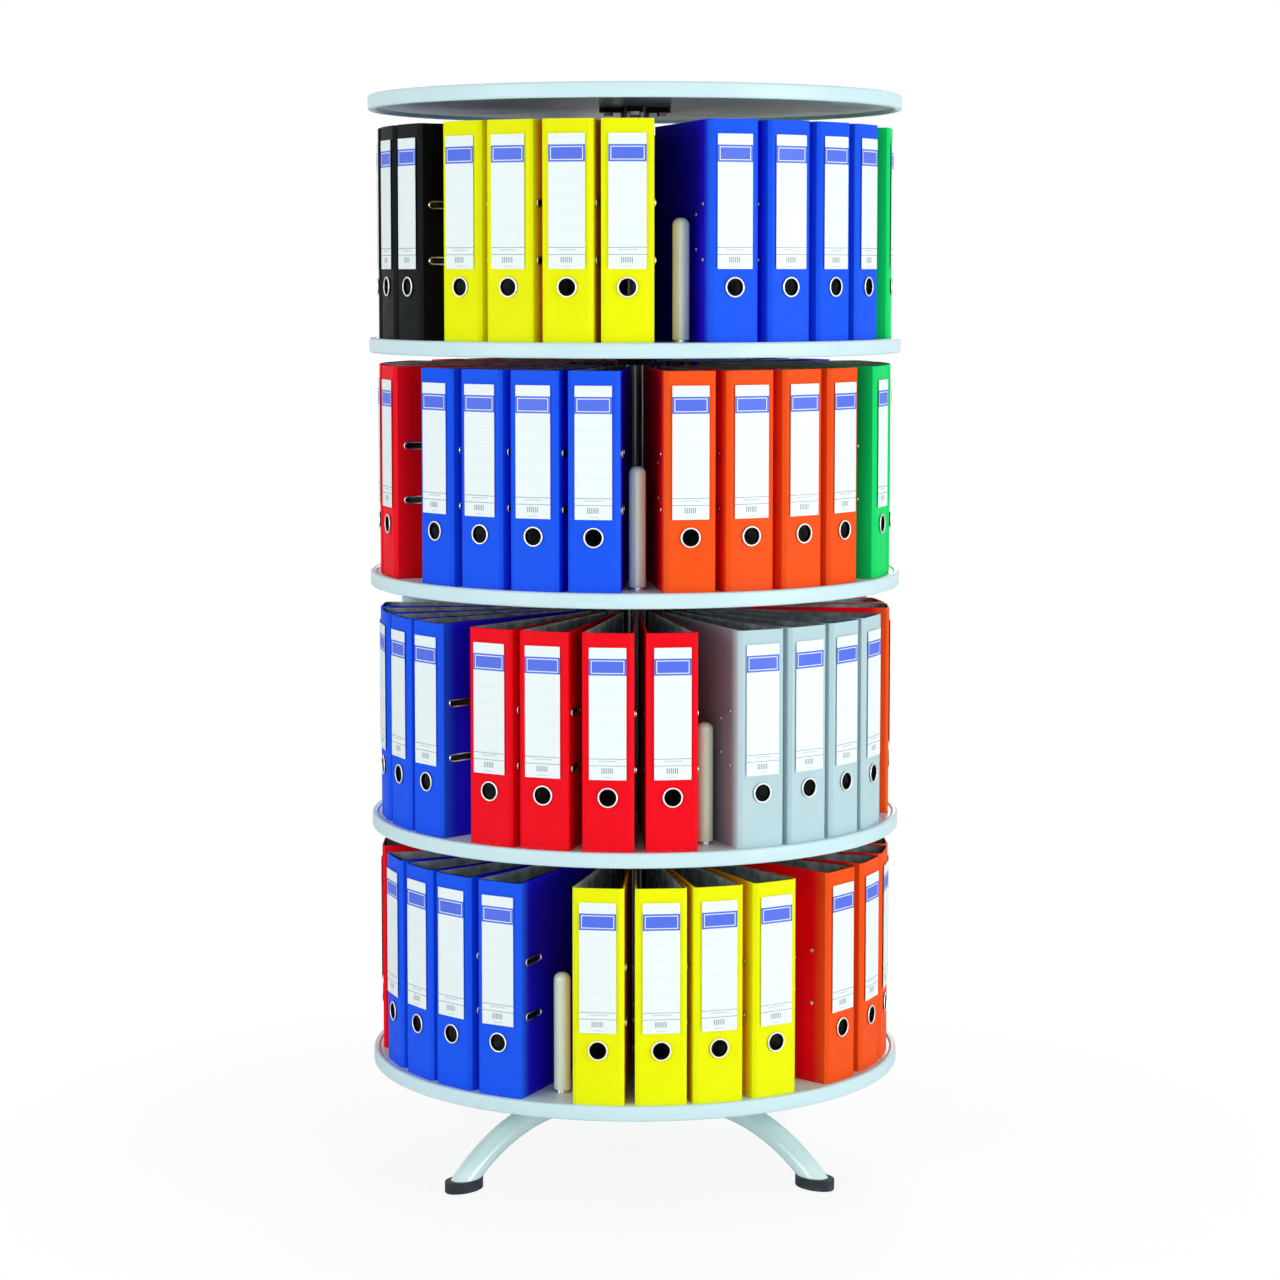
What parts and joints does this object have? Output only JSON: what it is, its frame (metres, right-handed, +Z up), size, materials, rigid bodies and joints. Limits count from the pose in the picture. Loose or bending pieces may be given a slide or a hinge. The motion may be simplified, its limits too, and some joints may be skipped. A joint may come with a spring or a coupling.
{
  "type": "rotary filing cabinet",
  "caption": "Free-standing column with independently turning round shelves full of lever-arch files, a fixed round cover and an arched four-armed foot.",
  "frame": {"origin": "on the column's axis at floor level", "axes": "+Z up along the column, -Y is the front, +X is the viewer's right"},
  "size_m": [0.82, 0.82, 1.638],
  "materials": {
    "board_grey": "chipboard faced with pale grey melamine",
    "bush_acetal": "natural acetal",
    "column_chrome": "polished chrome",
    "file_black": "board covered with embossed black foil",
    "file_blue": "board covered with embossed blue foil",
    "file_green": "board covered with embossed green foil",
    "file_grey": "board covered with embossed grey foil",
    "file_orange": "board covered with embossed orange foil",
    "file_red": "board covered with embossed red foil",
    "file_yellow": "board covered with embossed yellow foil",
    "hub_black": "black satin coat",
    "legs_white": "pale grey gloss powder coat",
    "rim_white": "pale grey moulded band, satin",
    "screw_steel": "zinc-plated",
    "shoe_black": "black moulded, satin",
    "stop_cap_grey": "warm grey, satin",
    "stop_grey": "warm grey, satin"
  },
  "bodies": {
    "stand": {"base_bolt": "screw_steel", "base_hub": "legs_white", "collar_screws": "screw_steel", "column_plug": "screw_steel", "column_tube": "column_chrome", "cover_board": "board_grey", "cover_hub": "hub_black", "cover_hub_screws": "screw_steel", "cover_rim": "rim_white", "leg_1": "legs_white", "leg_2": "legs_white", "leg_3": "legs_white", "leg_4": "legs_white", "leg_shoes": "shoe_black", "shelf_collars": "screw_steel"},
    "shelf_1": {"shelf_1_board": "board_grey", "shelf_1_bush": "bush_acetal", "shelf_1_files_black": "file_black", "shelf_1_files_blue": "file_blue", "shelf_1_files_green": "file_green", "shelf_1_files_yellow": "file_yellow", "shelf_1_hub": "hub_black", "shelf_1_hub_screws": "screw_steel", "shelf_1_rim": "rim_white", "shelf_1_stop_caps": "stop_cap_grey", "shelf_1_stops": "stop_grey"},
    "shelf_2": {"shelf_2_board": "board_grey", "shelf_2_bush": "bush_acetal", "shelf_2_files_blue": "file_blue", "shelf_2_files_green": "file_green", "shelf_2_files_orange": "file_orange", "shelf_2_files_red": "file_red", "shelf_2_hub": "hub_black", "shelf_2_hub_screws": "screw_steel", "shelf_2_rim": "rim_white", "shelf_2_stop_caps": "stop_cap_grey", "shelf_2_stops": "stop_grey"},
    "shelf_3": {"shelf_3_board": "board_grey", "shelf_3_bush": "bush_acetal", "shelf_3_files_blue": "file_blue", "shelf_3_files_grey": "file_grey", "shelf_3_files_orange": "file_orange", "shelf_3_files_red": "file_red", "shelf_3_hub": "hub_black", "shelf_3_hub_screws": "screw_steel", "shelf_3_rim": "rim_white", "shelf_3_stop_caps": "stop_cap_grey", "shelf_3_stops": "stop_grey"},
    "shelf_4": {"shelf_4_board": "board_grey", "shelf_4_bush": "bush_acetal", "shelf_4_files_blue": "file_blue", "shelf_4_files_orange": "file_orange", "shelf_4_files_red": "file_red", "shelf_4_files_yellow": "file_yellow", "shelf_4_hub": "hub_black", "shelf_4_hub_screws": "screw_steel", "shelf_4_rim": "rim_white", "shelf_4_stop_caps": "stop_cap_grey", "shelf_4_stops": "stop_grey"}
  },
  "joints": [
    {"name": "shelf_1_turn", "type": "hinge", "parent": "stand", "child": "shelf_1", "pos_m": [0, 0, 1.253], "axis": [0, 0, 1], "continuous": true},
    {"name": "shelf_2_turn", "type": "hinge", "parent": "stand", "child": "shelf_2", "pos_m": [0, 0, 0.895], "axis": [0, 0, 1], "continuous": true},
    {"name": "shelf_3_turn", "type": "hinge", "parent": "stand", "child": "shelf_3", "pos_m": [0, 0, 0.519], "axis": [0, 0, 1], "continuous": true},
    {"name": "shelf_4_turn", "type": "hinge", "parent": "stand", "child": "shelf_4", "pos_m": [0, 0, 0.147], "axis": [0, 0, 1], "continuous": true}
  ]
}
